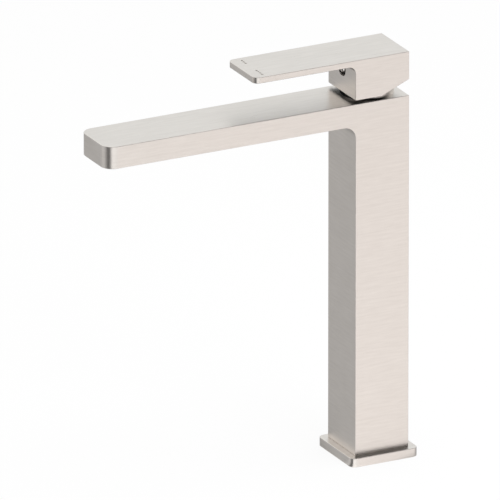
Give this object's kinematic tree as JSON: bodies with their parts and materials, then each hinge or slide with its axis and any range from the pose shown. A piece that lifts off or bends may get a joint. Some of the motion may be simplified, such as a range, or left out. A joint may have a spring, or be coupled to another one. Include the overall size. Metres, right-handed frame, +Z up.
{
  "type": "single-lever basin faucet",
  "caption": "Tall single-lever basin faucet: square column, flat closed spout, flat lever over a ceramic cartridge, square foot plate and deck fixing kit.",
  "frame": {"origin": "centre of the base's underside, where it rests on the deck", "axes": "+Z up, spout and closed lever along -Y, +X on the cold side"},
  "size_m": [0.0568, 0.2599, 0.3838],
  "materials": {
    "brushed_nickel": "brushed nickel, fine grain along each face",
    "brass": "machined brass",
    "steel": "zinc plated steel",
    "stainless": "stainless steel, fine turned",
    "ceramic": "lapped alumina",
    "cartridge_plastic": "moulded white grey plastic",
    "carriage_plastic": "moulded dark grey plastic",
    "limit_plastic": "moulded red plastic",
    "aerator_plastic": "moulded pale plastic",
    "rubber": "black rubber"
  },
  "bodies": {
    "fixed_body": {"faucet_body": "brushed_nickel", "base_flange": "brushed_nickel", "base_seal": "rubber", "base_insert": "brass", "insert_screws": "steel", "mounting_studs": "steel", "clamp_gasket": "rubber", "clamp_plate": "steel", "clamp_nuts": "brass", "cartridge_base": "cartridge_plastic", "port_seals": "rubber", "disc_seals": "rubber", "fixed_disc": "ceramic", "cartridge_housing": "cartridge_plastic", "housing_seal": "rubber", "retaining_nut": "brass", "limit_ring": "limit_plastic", "cartridge_cover": "brushed_nickel", "aerator_housing": "brushed_nickel", "aerator_insert": "aerator_plastic", "aerator_screen": "stainless", "aerator_seal": "rubber"},
    "carriage": {"stem_carriage": "carriage_plastic", "carriage_seal": "rubber", "pivot_pin": "stainless"},
    "lever": {"lever_handle": "brushed_nickel", "lever_stem": "stainless", "handle_screw": "stainless", "screw_washer": "rubber"},
    "disc_slider": {"moving_disc": "ceramic", "disc_carrier": "carriage_plastic"}
  },
  "joints": [
    {"name": "temperature_swivel", "type": "hinge", "parent": "fixed_body", "child": "carriage", "pos_m": [0, 0, 0.2788], "axis": [0, 0, 1], "range_deg": [-45, 45]},
    {"name": "lever_lift", "type": "hinge", "parent": "carriage", "child": "lever", "pos_m": [0, 0, 0.2788], "axis": [-1, 0, 0], "range_deg": [0, 25]},
    {"name": "disc_slide", "type": "slide", "parent": "carriage", "child": "disc_slider", "axis": [0, -1, 0], "range_m": [0, 0.0035]}
  ],
  "couplings": [
    {"joint": "disc_slide", "follows": "lever_lift", "m_per_rad": 0.0077486}
  ]
}
